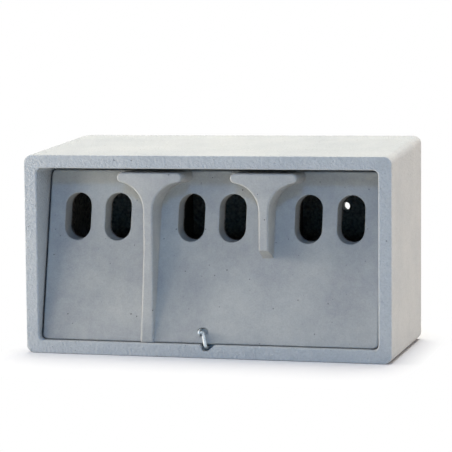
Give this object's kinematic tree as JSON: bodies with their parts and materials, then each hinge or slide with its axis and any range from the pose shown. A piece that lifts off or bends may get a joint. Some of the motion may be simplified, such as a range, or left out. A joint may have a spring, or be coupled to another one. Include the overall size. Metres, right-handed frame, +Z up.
{
  "type": "sparrow terrace nest box",
  "caption": "Cast woodcrete nest box for sparrows: a deep rimmed casing with brood chambers side by side behind a leaning lift-out front with paired oval entrances.",
  "frame": {"origin": "on the ground at the bottom centre of the casing", "axes": "+X to the right seen from the front, +Y towards the wall the box hangs on, +Z up"},
  "size_m": [0.43, 0.2, 0.2449],
  "materials": {
    "casing_woodcrete": "cast woodcrete, fine grained, painted light stone grey",
    "panel_woodcrete": "cast woodcrete, fine grained, painted mid grey",
    "partition_board": "wood fibre board, unpainted",
    "galvanised_wire": "galvanised steel wire"
  },
  "bodies": {
    "casing": {"casing": "casing_woodcrete", "partition_left": "partition_board", "partition_right": "partition_board"},
    "panel": {"front_panel": "panel_woodcrete", "hook_staple": "galvanised_wire"},
    "hook": {"panel_hook": "galvanised_wire"}
  },
  "joints": [
    {"name": "panel_lift_out", "type": "slide", "parent": "casing", "child": "panel", "axis": [0, -1, 0], "range_m": [0, 0.1]},
    {"name": "hook_turn", "type": "hinge", "parent": "panel", "child": "hook", "pos_m": [-0.0076, -0.09265, 0.0282], "axis": [-1, 0, 0], "range_deg": [0, 165]}
  ]
}
